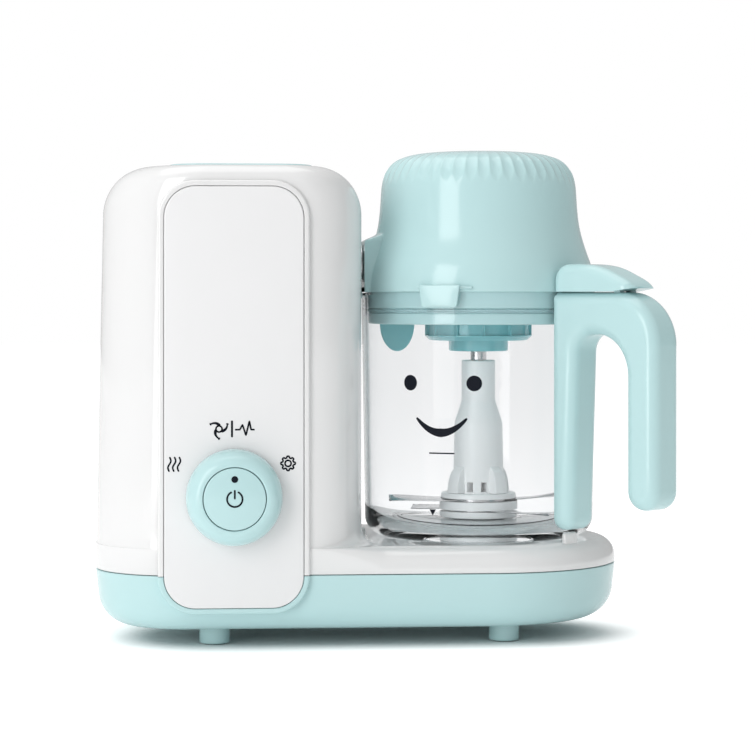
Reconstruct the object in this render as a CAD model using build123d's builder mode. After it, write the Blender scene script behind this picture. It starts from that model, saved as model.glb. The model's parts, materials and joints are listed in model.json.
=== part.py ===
from build123d import *
from math import cos, radians, sin, sqrt
import os

os.makedirs("parts", exist_ok=True)

# ---------------------------------------------------------------------------
# Driving dimensions, in millimetres. Z is up, the front faces -Y.
# Places in the plan are given from the jar's axis, which stands at (jar_x, jar_y).
# ---------------------------------------------------------------------------
jar_x = 59.14
jar_y = 11.55

# base
base_left = -212.0
half_depth = 76.0
left_corner = 50.0
base_floor = 9.7
seam_z = 40.0
deck_z = 54.0
wall = 2.6
foot_x = (-148.0, 9.0)
foot_y = (-41.5, 41.5)
foot_radius = 8.2
deck_round = 11.0
screw_radius = 1.6
boss_height = 20.0
tab_angles = (-50.0, 70.0, 190.0)
tab_distance = 67.6
gland_x = -120.0
gland_z = 30.0
gland_seat = 73.2
gland_flange = 7.6
gland_neck = 6.0
gland_bore = 3.6

# tower
tower_right = -68.8
tower_top = 256.6
tower_draft = 3.8
top_round = 26.0
front_round = 9.0
right_corner = 34.0

# front panel, and the raised rim round it
panel_x = -138.3
panel_width = 73.0
panel_low = 23.4
panel_high = 244.6
panel_corner = 16.4
panel_gap = 0.4
rim_width = 3.0
rim_front = -78.5
panel_front = -79.1
panel_back = -76.3

# dial and power button
dial_z = 81.8
dial_radius = 25.3
dial_back = -79.9
dial_front = -96.0
cap_radius = 16.2
stem_radius = 1.5
stem_length = 18.0
shaft_radius = 3.0

# water tank and its lid
tank_x = -133.0
tank_y = 16.0
tank_width = 70.0
tank_depth = 72.0
tank_low = 150.0
tank_high = 256.2
tank_corner = 16.0
lid_width = 80.0
lid_depth = 84.0
lid_low = 256.9
lid_high = 259.6
tank_wall = 2.2
knuckle_half = 26.5
seal_width = 64.6
tank_hinge_y = 61.8
tank_hinge_z = 259.4
tank_pin_radius = 1.5
ear_radius = 3.2
ear_width = 6.0
ear_gap = 0.5

# steam path
nozzle_z = 205.4
nozzle_face = -65.9
lug_face = -65.4
steam_port_x = -46.0
nozzle_stem = 6.0
nozzle_bore = 3.5
tube_radius = 4.0
elbow_radius = 4.5
boiler_radius = 28.0
boiler_low = 84.0
boiler_high = 122.0
steam_outlet_z = 108.0

# jar
jar_bottom = 54.1
jar_rim = 189.0
jar_radius_low = 63.5
jar_radius_high = 65.4
jar_wall = 2.8
jar_floor = 57.6
jar_corner = 11.0
pivot_radius = 3.0

# lid of the jar
flange_radius = 63.6
plug_radius = 62.1
plug_low = 171.6
gasket_z = 177.8
lid_flange_top = 191.3
hub_radius = 30.0
hub_bore = 7.5
hub_low = 162.0
nose_radius = 16.6
nose_low = 156.0
spindle_radius = 4.5
cup_radius = 10.5
cup_low = 178.5
cup_high = 190.4
drive_low = 182.8
drive_flats = 12.0
tip_low = 142.0
tip_flats = 7.0

# motor head
head_low = 189.4
head_top = 267.5
head_wall = 2.4
head_profile = [
    (65.2, 189.4),
    (64.8, 196.0),
    (63.0, 205.0),
    (58.0, 219.5),
    (55.6, 229.0),
    (54.8, 236.0),
    (54.4, 247.5),
    (51.6, 257.5),
    (43.6, 264.0),
    (30.0, 266.8),
    (0.0, head_top),
]
motor_radius = 27.0
motor_low = 205.0
motor_high = 251.0
motor_shaft_radius = 4.0
plate_low = 191.9
plate_high = 194.6
plate_radius = 62.0
motor_screw_angles = (30, 150, 270)
motor_screw_ring = 35.0
catch_angle = -114.8
catch_inner_face = 66.1
catch_thick = 2.1
catch_top = 193.0

# blade unit
post_top = 150.8
blade_reach = 52.0
blade_thick = 1.6
upper_blade_z = 73.0
lower_blade_z = 66.8
bush_radius = 6.0
post_foot_radius = 21.75

# handle
handle_angle = -49.0
handle_half_width = 11.8
handle_inner = 65.7
inner_leg_out = 79.4
inner_leg_foot = 75.5
outer_leg_in = 113.1
outer_leg_out = 133.4
arch_top = 166.6
inner_leg_low = 61.0
outer_leg_low = 74.5
handle_top = 189.2
handle_round = 6.6
grip_seam_z = 182.0
latch_low = 189.45
latch_tip_lift = 1.7
latch_high = 204.3
latch_inner_face = 65.6
latch_tip_rho = 117.0
latch_hinge_rho = 105.0
latch_hinge_z = 192.2
latch_pin_radius = 1.0
latch_knuckle = 1.9
latch_knuckle_width = 4.0
latch_knuckle_middle = 5.0
latch_pin_end = 8.8
latch_crown_round = 5.0
latch_tip_round = 8.0


# ---------------------------------------------------------------------------
# Work planes and shared shapes
# ---------------------------------------------------------------------------
def level(x=0.0, y=0.0, z=0.0):
    """Level plane at a place given from the jar's axis."""
    return Plane(origin=(jar_x + x, jar_y + y, z))


def facing_front(x, y, z):
    """Upright plane whose normal is -Y: its own x is +X and its own y is +Z."""
    return Plane(origin=(jar_x + x, jar_y + y, z), x_dir=(1, 0, 0), z_dir=(0, -1, 0))


def facing_right(x, y, z):
    """Upright plane whose normal is +X: its own x is +Y and its own y is +Z."""
    return Plane(origin=(jar_x + x, jar_y + y, z), x_dir=(0, 1, 0), z_dir=(1, 0, 0))


def facing_back(x, y, z):
    """Upright plane whose normal is +Y."""
    return Plane(origin=(jar_x + x, jar_y + y, z), x_dir=(-1, 0, 0), z_dir=(0, 1, 0))


def section_at(angle, x=0.0, y=0.0):
    """Upright plane through an axis: its own x points away at the angle, its own y is up."""
    away = (cos(radians(angle)), sin(radians(angle)), 0)
    across = (sin(radians(angle)), -cos(radians(angle)), 0)
    return Plane(origin=(jar_x + x, jar_y + y, 0), x_dir=away, z_dir=across)


def facing_out(angle, distance, z):
    """Upright plane at a distance from the jar's axis, its normal pointing away from it."""
    away = (cos(radians(angle)), sin(radians(angle)), 0)
    sideways = (-sin(radians(angle)), cos(radians(angle)), 0)
    place = (jar_x + distance * away[0], jar_y + distance * away[1], z)
    return Plane(origin=place, x_dir=sideways, z_dir=away)


def turn(outline, x=0.0, y=0.0, mode=Mode.ADD):
    """Revolve a closed outline of (radius, height) points about an upright axis."""
    plane = section_at(0, x, y)
    with BuildSketch(plane) as section:
        Polygon(*outline, align=None)
    revolve(section.sketch, axis=Axis(plane.origin, (0, 0, 1)), mode=mode)


def disc(plane, radius, height, mode=Mode.ADD):
    """Cylinder that stands on a plane."""
    with BuildSketch(plane) as section:
        Circle(radius)
    extrude(section.sketch, amount=height, mode=mode)


def ring(plane, radius, bore, height, mode=Mode.ADD):
    """Tube that stands on a plane."""
    with BuildSketch(plane) as section:
        Circle(radius)
        Circle(bore, mode=Mode.SUBTRACT)
    extrude(section.sketch, amount=height, mode=mode)


def slab(plane, width, depth, height, corner=0.0, mode=Mode.ADD):
    """Block with rounded upright corners that stands on a plane."""
    with BuildSketch(plane) as section:
        if corner:
            RectangleRounded(width, depth, corner)
        else:
            Rectangle(width, depth)
    extrude(section.sketch, amount=height, mode=mode)


def pipe(points, bend, radius, bore):
    """Hollow tube along straight runs joined by bends; points are given from the jar's axis."""
    route = [(jar_x + x, jar_y + y, z) for x, y, z in points]
    with BuildLine() as path:
        if bend:
            FilletPolyline(*route, radius=bend)
        else:
            Polyline(*route)
    with BuildSketch(Plane(origin=path.line @ 0, z_dir=path.line % 0)) as section:
        Circle(radius)
        Circle(bore, mode=Mode.SUBTRACT)
    sweep(section.sketch, path=path.line)


def hexagon(plane, across_flats, height, mode=Mode.ADD):
    """Hexagonal prism that stands on a plane."""
    with BuildSketch(plane) as section:
        RegularPolygon(across_flats / 2, 6, major_radius=False)
    extrude(section.sketch, amount=height, mode=mode)


def finish(builder, label):
    """Name a finished sub-part and write it."""
    builder.part.label = label
    export_step(builder.part, f"parts/{label}.step")


def base_outline(plane, inset):
    """Plan of the base: rounded corners on the left, a half circle about the jar on the right."""
    left = base_left + inset
    depth = 2 * (half_depth - inset)
    with BuildSketch(plane) as outline:
        with Locations((left / 2, 0)):
            Rectangle(-left, depth)
        fillet(outline.vertices().group_by(Axis.X)[0], left_corner - inset)
        Circle(half_depth - inset)
    return outline.sketch


def tower_section(height, inset_x, inset_y, inset):
    """Plan of the tower at a height: the left side leans in a little as it rises."""
    lean = tower_draft * (height - seam_z) / (tower_top - top_round - seam_z)
    left = base_left + min(lean, tower_draft) + inset_x + inset
    right = tower_right - inset_x - inset
    depth = 2 * (half_depth - inset_y - inset)
    with BuildSketch(level((left + right) / 2, 0, height)) as outline:
        Rectangle(right - left, depth)
        fillet(outline.vertices().group_by(Axis.X)[0], left_corner - 0.6 * inset_x - inset)
        fillet(outline.vertices().group_by(Axis.X)[-1], right_corner - 0.6 * inset_x - inset)
    return outline.sketch


def tower_body(inset):
    """Tower solid: straight sides below, rounded to its flat top. An inset makes its inside."""
    spring_line = tower_top - top_round
    low = tower_section(seam_z, 0, 0, inset)
    high = tower_section(spring_line, 0, 0, inset)
    loft([low, high], ruled=True)
    crown = [high]
    for step in (0.35, 0.6, 0.8, 0.93, 1.0):
        height = spring_line + step * (top_round - inset)
        side = (top_round - inset) * (1 - sqrt(1 - step**2))
        over = max(0.0, height - (tower_top - front_round))
        front = front_round - sqrt(max(0.0, front_round**2 - over**2))
        crown.append(tower_section(height, side, front, inset))
    loft(crown, ruled=True)


# ---------------------------------------------------------------------------
# Base and tower
# ---------------------------------------------------------------------------
rim_size = panel_width + 2 * (panel_gap + rim_width)
rim_low = panel_low - panel_gap - rim_width
rim_high = panel_high + panel_gap + rim_width
panel_middle = (panel_low + panel_high) / 2


def panel_block(y_front, y_back, grow, mode=Mode.ADD):
    """Upright rounded block on the panel's outline, larger all round by grow."""
    width = panel_width + 2 * grow
    height = panel_high - panel_low + 2 * grow
    slab(
        facing_front(panel_x, y_front, panel_middle),
        width, height, y_front - y_back, panel_corner + grow, mode,
    )


def lower_body(inset):
    """Bowl-shaped lower body. An inset makes its inside."""
    extrude(base_outline(level(0, 0, seam_z), inset), amount=base_floor + inset - seam_z, taper=6)
    fillet(edges().group_by(Axis.Z)[0], 18 - inset)


with BuildPart() as lower_hollow:
    lower_body(wall)

with BuildPart() as base_shell:
    lower_body(0)
    with BuildSketch(facing_front(panel_x, rim_front, seam_z)) as lip:
        with Locations((0, (rim_low - seam_z) / 2)):
            Rectangle(rim_size, seam_z - rim_low)
        fillet(lip.vertices().group_by(Axis.Y)[0], panel_corner + panel_gap + rim_width)
    extrude(lip.sketch, amount=-12)
    add(lower_hollow.part, mode=Mode.SUBTRACT)
    panel_block(rim_front, panel_back + 0.1, panel_gap, Mode.SUBTRACT)
    for x in foot_x:
        for y in foot_y:
            ring(level(x, y, base_floor + wall - 0.5), 5.0, screw_radius, boss_height)
            disc(level(x, y, base_floor - 1), screw_radius, 5, Mode.SUBTRACT)
    disc(facing_back(gland_x, gland_seat, gland_z), gland_flange, 12, Mode.SUBTRACT)
    disc(facing_back(gland_x, gland_seat - 8, gland_z), gland_neck, 12, Mode.SUBTRACT)
finish(base_shell, "base_shell")

with BuildPart() as upper_hollow:
    tower_body(wall)
    with BuildSketch(level(0, 0, seam_z)) as inner_deck:
        with Locations((-50, 0)):
            Rectangle(100, 2 * (half_depth - wall))
        Circle(half_depth - wall)
    extrude(inner_deck.sketch, amount=deck_z - wall - seam_z)
    deck_edges = edges().filter_by(lambda e: abs(e.center().Z - deck_z + wall) < 0.01)
    fillet(deck_edges.filter_by(lambda e: e.bounding_box().max.X > jar_x + 40), deck_round - wall)

with BuildPart() as upper_housing:
    tower_body(0)
    with BuildSketch(level(0, 0, seam_z)) as deck:
        with Locations((-50, 0)):
            Rectangle(100, 2 * half_depth)
        Circle(half_depth)
    extrude(deck.sketch, amount=deck_z - seam_z)
    rim_edges = edges().filter_by(lambda e: abs(e.center().Z - deck_z) < 0.01)
    fillet(rim_edges.filter_by(lambda e: e.bounding_box().max.X > jar_x + 40), deck_round)
    with BuildSketch(facing_front(panel_x, rim_front, seam_z)) as frame_rim:
        with Locations((0, (rim_high - seam_z) / 2)):
            Rectangle(rim_size, rim_high - seam_z)
        fillet(frame_rim.vertices().group_by(Axis.Y)[-1], panel_corner + panel_gap + rim_width)
    extrude(frame_rim.sketch, amount=-8)
    add(upper_hollow.part, mode=Mode.SUBTRACT)
    panel_block(rim_front, panel_back + 0.1, panel_gap, Mode.SUBTRACT)
    slab(
        level(tank_x, tank_y, tank_high - 6),
        tank_width + 1, tank_depth + 1, 12, tank_corner + 0.5, Mode.SUBTRACT,
    )
    disc(facing_front(panel_x, panel_back - 1, dial_z), shaft_radius + 0.5, -8, Mode.SUBTRACT)
    disc(facing_right(tower_right - wall - 3, 0, nozzle_z), nozzle_stem + 0.1, 10, Mode.SUBTRACT)
    for ear_x in (tank_x - knuckle_half - ear_gap - ear_width, tank_x + knuckle_half + ear_gap):
        with BuildSketch(facing_right(ear_x, tank_hinge_y, tank_hinge_z)) as ear:
            Circle(ear_radius)
            with Locations((0, -2.5)):
                Rectangle(2 * ear_radius, 5)
            Circle(tank_pin_radius, mode=Mode.SUBTRACT)
        extrude(ear.sketch, amount=ear_width)
    for angle in tab_angles:
        with BuildSketch(section_at(angle)) as tab:
            with Locations((tab_distance, deck_z + 2.5)):
                Rectangle(2.4, 6.0)
        extrude(tab.sketch, amount=5, both=True)
finish(upper_housing, "upper_housing")

with BuildPart() as front_panel:
    panel_block(panel_front, panel_back, 0)
    front_edges = edges().group_by(Axis.Y)[0]
    fillet(front_edges, 0.6)
    disc(facing_front(panel_x, panel_front - 1, dial_z), shaft_radius + 0.4, -8, Mode.SUBTRACT)
finish(front_panel, "front_panel")

with BuildPart() as feet:
    for x in foot_x:
        for y in foot_y:
            disc(level(x, y, 0.4), foot_radius, base_floor - 0.4)
    bottom_edges = edges().group_by(Axis.Z)[0]
    fillet(bottom_edges, 1.2)
    for x in foot_x:
        for y in foot_y:
            disc(level(x, y, 0), 6.0, 2.2, Mode.SUBTRACT)
            disc(level(x, y, 0), screw_radius, 12, Mode.SUBTRACT)
finish(feet, "feet")

with BuildPart() as foot_pads:
    for x in foot_x:
        for y in foot_y:
            disc(level(x, y, 0), 6.0, 2.2)
finish(foot_pads, "foot_pads")

with BuildPart() as base_screws:
    for x in foot_x:
        for y in foot_y:
            disc(level(x, y, 2.4), screw_radius, 24)
            disc(level(x, y, base_floor + wall - 0.5 + boss_height), 3.2, 2.0)
finish(base_screws, "base_screws")

with BuildPart() as cord_gland:
    gland = facing_back(gland_x, gland_seat, gland_z)
    disc(gland, gland_flange, 4.4)
    disc(gland.offset(-7), gland_neck, 7)
    disc(gland.offset(4.4), 5.4, 5)
    disc(gland.offset(-7), gland_bore, 17, Mode.SUBTRACT)
finish(cord_gland, "cord_gland")


# ---------------------------------------------------------------------------
# Inside the tower: controls, tank, boiler and steam line
# ---------------------------------------------------------------------------
with BuildPart() as dial_ring:
    disc(facing_front(panel_x, dial_back, dial_z), dial_radius, dial_back - dial_front)
    outer_edges = edges().group_by(Axis.Y)[0]
    fillet(outer_edges, 5)
    disc(facing_front(panel_x, dial_back - 5, dial_z), cap_radius + 0.4, 20, Mode.SUBTRACT)
    disc(facing_front(panel_x, dial_back + 1, dial_z), shaft_radius, 20, Mode.SUBTRACT)
finish(dial_ring, "dial_ring")

with BuildPart() as power_button:
    disc(facing_front(panel_x, dial_front + 5, dial_z), cap_radius, 5.3)
    fillet(edges().group_by(Axis.Y)[0], 0.8)
finish(power_button, "power_button")

with BuildPart() as power_stem:
    disc(facing_front(panel_x, dial_front + 5, dial_z), stem_radius, -stem_length)
finish(power_stem, "power_stem")

with BuildPart() as selector_shaft:
    ring(facing_front(panel_x, -66.5, dial_z), shaft_radius, stem_radius + 0.08, 20)
finish(selector_shaft, "selector_shaft")

with BuildPart() as power_spring:
    coil_start = (jar_x + panel_x, jar_y + dial_back - 5.4, dial_z)
    with BuildLine() as coil:
        Helix(pitch=1.3, height=3.6, radius=6, center=coil_start, direction=(0, -1, 0))
    with BuildSketch(Plane(origin=coil.line @ 0, z_dir=coil.line % 0)) as wire:
        Circle(0.35)
    sweep(wire.sketch, path=coil.line, is_frenet=True)
finish(power_spring, "power_spring")

with BuildPart() as selector_switch:
    slab(facing_front(panel_x, -61, dial_z), 26, 26, 12, 3)
    disc(facing_front(panel_x, -66, dial_z), shaft_radius + 0.05, 10, Mode.SUBTRACT)
finish(selector_switch, "selector_switch")

with BuildPart() as control_board:
    slab(facing_front(panel_x, -59.2, 98), 62, 84, 1.6, 3)
    for side in (-1, 1):
        for height in (60.5, 135.5):
            disc(facing_front(panel_x + side * 27, -58, height), screw_radius, 5, Mode.SUBTRACT)
    for column in (-20, -7, 7, 20):
        slab(facing_front(panel_x + column, -57.0, 118), 9, 14, 2.2)
    slab(facing_front(panel_x, -50.0, 74), 20, 16, 9.2, 1)
finish(control_board, "control_board")

with BuildPart() as water_tank:
    tank_floor = level(tank_x, tank_y, tank_low)
    slab(tank_floor, tank_width, tank_depth, tank_high - tank_low, tank_corner)
    slab(
        tank_floor.offset(tank_wall), tank_width - 2 * tank_wall, tank_depth - 2 * tank_wall,
        tank_high, tank_corner - tank_wall, Mode.SUBTRACT,
    )
    disc(tank_floor.offset(-1), tube_radius, 5, Mode.SUBTRACT)
finish(water_tank, "water_tank")

with BuildPart() as tank_lid:
    slab(level(tank_x, tank_y, lid_low), lid_width, lid_depth, lid_high - lid_low, 20)
    fillet(edges().group_by(Axis.Z)[-1], 1.6)
    knuckle = facing_right(tank_x - knuckle_half, tank_hinge_y, tank_hinge_z)
    disc(knuckle, ear_radius - 0.4, 2 * knuckle_half)
    with BuildSketch(knuckle) as web:
        with Locations((-3.2, -1.15)):
            Rectangle(5, 2.7)
    extrude(web.sketch, amount=2 * knuckle_half)
    disc(knuckle, tank_pin_radius + 0.05, 2 * knuckle_half, Mode.SUBTRACT)
finish(tank_lid, "tank_lid")

with BuildPart() as tank_lid_seal:
    with BuildSketch(level(tank_x, tank_y, tank_high - 2.6)) as seal:
        RectangleRounded(seal_width, seal_width + 2, 13)
        RectangleRounded(seal_width - 8, seal_width - 6, 9, mode=Mode.SUBTRACT)
    extrude(seal.sketch, amount=lid_low - tank_high + 2.6)
finish(tank_lid_seal, "tank_lid_seal")

with BuildPart() as tank_lid_pins:
    pin_plane = facing_right(tank_x - knuckle_half - 6.4, tank_hinge_y, tank_hinge_z)
    disc(pin_plane, tank_pin_radius, 2 * knuckle_half + 12.8)
finish(tank_lid_pins, "tank_lid_pins")

with BuildPart() as boiler:
    disc(level(tank_x, tank_y, boiler_low), boiler_radius, boiler_high - boiler_low)
    fillet(edges().group_by(Axis.Z)[-1], 6)
    disc(level(tank_x, tank_y, boiler_low + 3), boiler_radius - 3, 26, Mode.SUBTRACT)
    disc(level(tank_x, tank_y, boiler_high - 10), tube_radius, 20, Mode.SUBTRACT)
    disc(facing_right(tank_x + 18, 0, steam_outlet_z), tube_radius, 20, Mode.SUBTRACT)
finish(boiler, "boiler")

with BuildPart() as boiler_heater:
    heater_plane = level(tank_x, tank_y, boiler_low - 7)
    ring(heater_plane, 24, 16, 7)
    fillet(edges().group_by(Axis.Z)[0], 3)
finish(boiler_heater, "boiler_heater")

with BuildPart() as thermostat:
    disc(level(tank_x, tank_y, boiler_low - 9), 8, 9)
    slab(level(tank_x, tank_y, boiler_low - 13), 12, 5, 4)
finish(thermostat, "thermostat")

with BuildPart() as boiler_bracket:
    floor_z = base_floor + wall
    ring(level(tank_x, tank_y, floor_z), boiler_radius, boiler_radius - 3, boiler_low - floor_z)
    for x in foot_x:
        for y in foot_y:
            disc(level(x, y, floor_z), 5.5, boss_height + 3, Mode.SUBTRACT)
finish(boiler_bracket, "boiler_bracket")

with BuildPart() as water_tube:
    low_end = boiler_high - 3
    ring(level(tank_x, tank_y, low_end), tube_radius, 2.8, tank_low + tank_wall - low_end)
finish(water_tube, "water_tube")

with BuildPart() as steam_tube:
    elbow_x = tower_right - 15
    pipe(
        [
            (tank_x + 22, 0, steam_outlet_z),
            (elbow_x, 0, steam_outlet_z),
            (elbow_x, 0, nozzle_z),
            (tower_right - 4.2, 0, nozzle_z),
        ],
        8, tube_radius, 2.8,
    )
finish(steam_tube, "steam_tube")

with BuildPart() as steam_nozzle:
    disc(facing_right(tower_right - 4.2, 0, nozzle_z), nozzle_stem, 4.2)
    disc(facing_right(tower_right, 0, nozzle_z), 10.5, nozzle_face - tower_right)
    disc(facing_right(tower_right - 8, 0, nozzle_z), nozzle_bore, 20, Mode.SUBTRACT)
finish(steam_nozzle, "steam_nozzle")

with BuildPart() as contact_block:
    slab(facing_right(tower_right, 0, 187.8), 30, 3.2, 2.6, 0.8)
finish(contact_block, "contact_block")

with BuildPart() as contact_strips:
    for y in (-6, 6):
        slab(facing_right(tower_right, y, 181.1), 6, 10, 1.2)
finish(contact_strips, "contact_strips")


# ---------------------------------------------------------------------------
# Motor head
# ---------------------------------------------------------------------------
head_span = head_top - head_low
inner_profile = [
    (max(r - head_wall, 0), z - head_wall * (z - head_low) / head_span) for r, z in head_profile
]

with BuildPart() as head_shell:
    turn([(0, head_low)] + head_profile)
    with BuildSketch(facing_front(0, 0, 0)) as lug:
        Polygon(
            (lug_face, head_low), (lug_face, 215), (-61, 221), (-50, 221), (-50, head_low),
            align=None,
        )
    extrude(lug.sketch, amount=20, both=True)
    fillet(edges().filter_by(lambda e: abs(e.center().X - jar_x - lug_face) < 0.1).filter_by(Axis.Z), 3)
    turn([(0, head_low)] + inner_profile, mode=Mode.SUBTRACT)
    disc(level(0, 0, head_low - 1), flange_radius + 0.35, plate_low - head_low + 0.9, Mode.SUBTRACT)
    disc(facing_right(lug_face - 1, 0, nozzle_z), elbow_radius, 14, Mode.SUBTRACT)
    disc(facing_right(lug_face - 1, 0, nozzle_z), 9, 3.4, Mode.SUBTRACT)
finish(head_shell, "head_shell")

with BuildPart() as steam_seal:
    ring(facing_right(lug_face, 0, nozzle_z), 9, elbow_radius, 2.4)
finish(steam_seal, "steam_seal")

with BuildPart() as steam_elbow:
    pipe(
        [(lug_face + 2.4, 0, nozzle_z), (steam_port_x, 0, nozzle_z), (steam_port_x, 0, plate_low)],
        9, elbow_radius, 3.0,
    )
finish(steam_elbow, "steam_elbow")

with BuildPart() as head_plate:
    disc(level(0, 0, plate_low), plate_radius, plate_high - plate_low)
    disc(level(0, 0, plate_low - 1), 13, 6, Mode.SUBTRACT)
    disc(level(steam_port_x, 0, plate_low - 1), elbow_radius, 6, Mode.SUBTRACT)
    for angle in motor_screw_angles:
        spot = facing_out(angle, motor_screw_ring, 0).origin
        disc(Plane(origin=(spot.X, spot.Y, plate_low - 1)), screw_radius, 6, Mode.SUBTRACT)
finish(head_plate, "head_plate")

with BuildPart() as motor_mount:
    turn(
        [
            (20, plate_high), (40, plate_high), (40, plate_high + 3), (motor_radius + 3, plate_high + 3),
            (motor_radius + 3, motor_low + 9), (motor_radius, motor_low + 9),
            (motor_radius, motor_low), (20, motor_low),
        ]
    )
    for angle in motor_screw_angles:
        spot = facing_out(angle, motor_screw_ring, 0).origin
        disc(Plane(origin=(spot.X, spot.Y, plate_high - 1)), screw_radius, 6, Mode.SUBTRACT)
finish(motor_mount, "motor_mount")

with BuildPart() as motor_screws:
    for angle in motor_screw_angles:
        spot = facing_out(angle, motor_screw_ring, 0).origin
        disc(Plane(origin=(spot.X, spot.Y, plate_low)), screw_radius, plate_high + 3 - plate_low)
        disc(Plane(origin=(spot.X, spot.Y, plate_high + 3)), 3.0, 2.0)
finish(motor_screws, "motor_screws")

with BuildPart() as motor_can:
    turn(
        [
            (8, motor_low), (motor_radius, motor_low), (motor_radius, motor_high), (8, motor_high),
            (8, motor_high - 5), (11, motor_high - 5), (11, motor_high - 2), (24.5, motor_high - 2),
            (24.5, motor_low + 2), (11, motor_low + 2), (11, motor_low + 5), (8, motor_low + 5),
        ]
    )
finish(motor_can, "motor_can")

with BuildPart() as motor_magnets:
    ring(level(0, 0, motor_low + 8), 24.5, 21, motor_high - motor_low - 16)
finish(motor_magnets, "motor_magnets")

with BuildPart() as motor_bearings:
    for low in (motor_low, motor_high - 5):
        ring(level(0, 0, low), 8, motor_shaft_radius + 0.05, 5)
finish(motor_bearings, "motor_bearings")

with BuildPart() as motor_armature:
    ring(level(0, 0, motor_low + 9), 20.2, motor_shaft_radius, 24)
    ring(level(0, 0, motor_low + 33), 9, motor_shaft_radius, 6)
    for angle in range(0, 360, 30):
        with BuildSketch(section_at(angle)) as slot:
            with Locations((19.2, motor_low + 21)):
                Rectangle(4, 40)
        extrude(slot.sketch, amount=1.2, both=True, mode=Mode.SUBTRACT)
finish(motor_armature, "motor_armature")

with BuildPart() as motor_shaft:
    disc(level(0, 0, drive_low + 4), motor_shaft_radius, motor_high + 3 - drive_low - 4)
finish(motor_shaft, "motor_shaft")

with BuildPart() as drive_coupling:
    hexagon(level(0, 0, drive_low), drive_flats, 14)
    disc(level(0, 0, drive_low + 14), 9, 4)
    disc(level(0, 0, drive_low + 4), motor_shaft_radius, 20, Mode.SUBTRACT)
finish(drive_coupling, "drive_coupling")

with BuildPart() as head_catch:
    with BuildSketch(facing_out(catch_angle, catch_inner_face, 0)) as tab:
        Polygon((-10.8, catch_top), (10.8, catch_top), (9.0, 180.8), (-9.0, 180.8), align=None)
    extrude(tab.sketch, amount=catch_thick)
finish(head_catch, "head_catch")

with BuildPart() as catch_mount:
    with BuildSketch(facing_out(catch_angle, 60, 0)) as mount_face:
        with Locations((0, catch_top - 1.5)):
            Rectangle(20, 3)
    extrude(mount_face.sketch, amount=catch_inner_face - 60)
    disc(level(0, 0, head_low), 65.25, 10, Mode.SUBTRACT)
finish(catch_mount, "catch_mount")


# ---------------------------------------------------------------------------
# Lid of the jar
# ---------------------------------------------------------------------------
with BuildPart() as jar_lid:
    turn(
        [
            (0, plug_low), (60.3, plug_low), (60.3, gasket_z + 2.4), (plug_radius, gasket_z + 2.4),
            (plug_radius, jar_rim + 0.1), (flange_radius, jar_rim + 0.1), (flange_radius, lid_flange_top),
            (57.6, lid_flange_top), (57.6, plug_low + wall), (0, plug_low + wall),
        ]
    )
    disc(level(0, 0, plug_low - 1), hub_bore, 10, Mode.SUBTRACT)
    disc(level(steam_port_x, 0, plug_low - 1), 4, 10, Mode.SUBTRACT)
finish(jar_lid, "jar_lid")

with BuildPart() as lid_gasket:
    ring(level(0, 0, gasket_z), plug_radius, 60.3, 2.4)
finish(lid_gasket, "lid_gasket")

with BuildPart() as lid_hub:
    turn(
        [
            (hub_bore, nose_low), (nose_radius, nose_low), (nose_radius, hub_low),
            (hub_radius - 3, hub_low), (hub_radius, hub_low + 3), (hub_radius, plug_low), (hub_bore, plug_low),
        ]
    )
    for angle in range(0, 360, 45):
        spot = facing_out(angle + 22.5, hub_radius + 4, 0).origin
        disc(Plane(origin=(spot.X, spot.Y, hub_low - 1)), 6, 5, Mode.SUBTRACT)
finish(lid_hub, "lid_hub")

with BuildPart() as spindle_bush:
    ring(level(0, 0, nose_low), hub_bore, spindle_radius + 0.05, plug_low + wall - nose_low)
finish(spindle_bush, "spindle_bush")

with BuildPart() as lid_spindle:
    disc(level(0, 0, post_top + 0.4), spindle_radius, cup_low - post_top - 0.4)
    disc(level(0, 0, cup_low), cup_radius, cup_high - cup_low)
    hexagon(level(0, 0, cup_low + 3), drive_flats + 0.7, 20, Mode.SUBTRACT)
    hexagon(level(0, 0, tip_low), tip_flats, post_top + 0.4 - tip_low)
finish(lid_spindle, "lid_spindle")

with BuildPart() as steam_deflector:
    with BuildSketch(facing_front(steam_port_x, -7, plug_low)) as tongue:
        Ellipse(9.5, 15.6)
        with Locations((0, 10)):
            Rectangle(30, 20, mode=Mode.SUBTRACT)
    extrude(tongue.sketch, amount=-14)
    with BuildSketch(facing_front(steam_port_x, -4.6, plug_low)) as scoop:
        Ellipse(7.2, 13.2)
    extrude(scoop.sketch, amount=-20, mode=Mode.SUBTRACT)
finish(steam_deflector, "steam_deflector")


# ---------------------------------------------------------------------------
# Jar and blades
# ---------------------------------------------------------------------------
with BuildPart() as jar:
    with BuildSketch(section_at(0)) as jar_section:
        Polygon(
            (0, jar_bottom), (jar_radius_low, jar_bottom), (jar_radius_high, jar_rim),
            (jar_radius_high - jar_wall, jar_rim), (jar_radius_low - jar_wall, jar_floor), (0, jar_floor),
            align=None,
        )
        sharp = jar_section.vertices()
        outer_foot = sharp.sort_by_distance((jar_radius_low, jar_bottom))[0]
        fillet(outer_foot, jar_corner)
        inner_foot = jar_section.vertices().sort_by_distance((jar_radius_low - jar_wall, jar_floor))[0]
        fillet(inner_foot, jar_corner - jar_wall)
    revolve(jar_section.sketch, axis=Axis((jar_x, jar_y, 0), (0, 0, 1)))
    slab(facing_out(handle_angle, 62.6, 130), 14, 96, handle_inner - 63.0, 3)
    disc(level(0, 0, jar_bottom - 1), 50, 1.8, Mode.SUBTRACT)
    disc(level(0, 0, jar_floor), 8, 1.2)
    disc(level(0, 0, jar_floor - 1.4), pivot_radius, 8, Mode.SUBTRACT)
finish(jar, "jar")

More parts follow.
